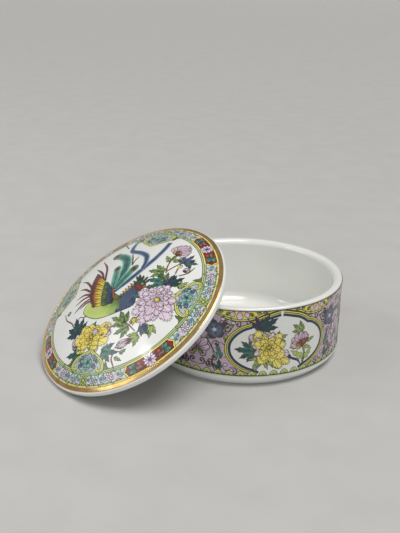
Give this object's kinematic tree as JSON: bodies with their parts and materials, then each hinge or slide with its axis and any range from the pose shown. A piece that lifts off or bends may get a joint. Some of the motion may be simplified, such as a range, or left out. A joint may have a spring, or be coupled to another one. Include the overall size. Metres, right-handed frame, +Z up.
{
  "type": "porcelain trinket box",
  "caption": "Low round porcelain trinket box with a domed, collared lid leaning open on the bowl's lip; painted enamel bands and a gilt edge line.",
  "frame": {"origin": "centre of the bowl's foot ring, on the table", "axes": "+Z up along the bowl's axis; the lid leans on the bowl's -X side; +Y completes a right-handed frame"},
  "size_m": [0.1602, 0.1124, 0.0637],
  "materials": {
    "porcelain": "white body under a clear gloss glaze",
    "wall_enamel": "fired overglaze enamels, lilac ground with scrolls and white medallions",
    "border_enamel": "fired overglaze enamels, pale blue border with iron-red panels",
    "gilding": "bright fired gold"
  },
  "bodies": {
    "bowl": {"bowl": "porcelain", "bowl_enamel_band": "wall_enamel"},
    "lid": {"lid": "porcelain", "lid_enamel_border": "border_enamel", "lid_gilt_band": "gilding"}
  },
  "joints": [
    {"name": "lid_lift", "type": "slide", "parent": "bowl", "child": "lid", "axis": [0, 0, 1], "range_m": [0, 0.06]}
  ]
}
